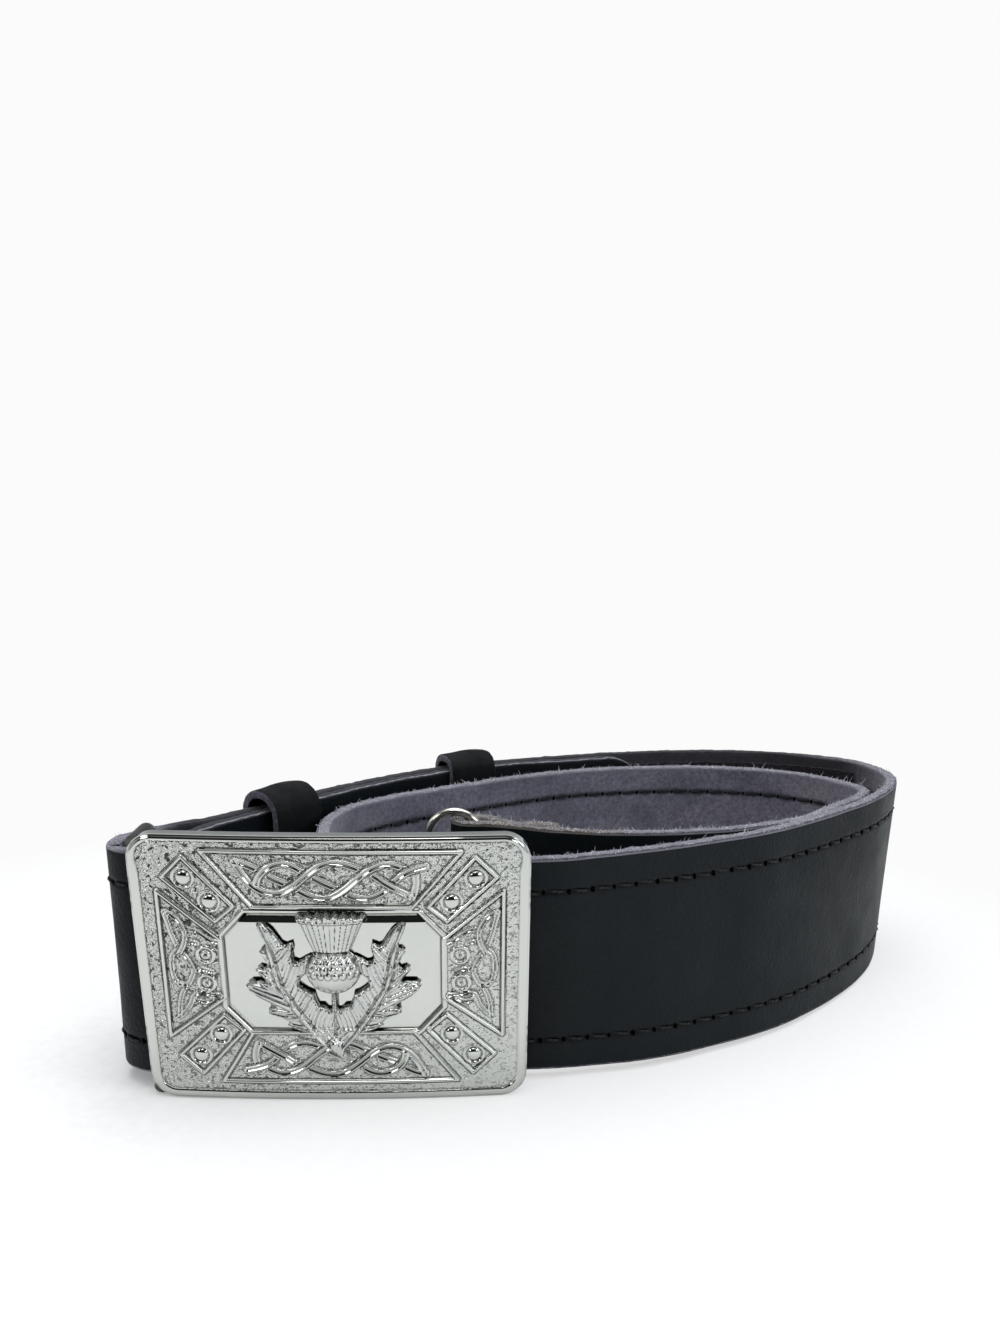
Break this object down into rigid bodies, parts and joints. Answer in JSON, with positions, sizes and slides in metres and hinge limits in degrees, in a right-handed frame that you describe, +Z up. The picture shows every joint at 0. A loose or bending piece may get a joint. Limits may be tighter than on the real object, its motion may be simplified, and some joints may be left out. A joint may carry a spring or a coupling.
{
  "type": "kilt belt",
  "caption": "Wide leather belt coiled in two turns on its edge, with a large cast plate buckle, two sliding keepers, a hook-and-loop tail strip and a metal ring in its folded end",
  "frame": {"origin": "under the middle of the belt's box, on the surface that it stands on", "axes": "+X along the coil's longest side, with the buckle towards -X; +Y from the buckle's face to the back of the coil; +Z up, across the strap's width"},
  "size_m": [0.227, 0.1552, 0.068],
  "materials": {
    "strap_leather": "satin black, fine grain",
    "tape_pile": "fuzzy dark pile",
    "keeper_leather": "satin black",
    "ring_nickel": "bright nickel",
    "buckle_chrome": "bright plating over a stippled cast ground",
    "thistle_chrome": "bright plating"
  },
  "bodies": {
    "root": {"strap": "strap_leather", "loop_tape": "tape_pile", "keeper_near": "keeper_leather", "keeper_far": "keeper_leather", "end_ring": "ring_nickel", "buckle_plate": "buckle_chrome", "thistle_mount": "thistle_chrome"}
  },
  "joints": []
}
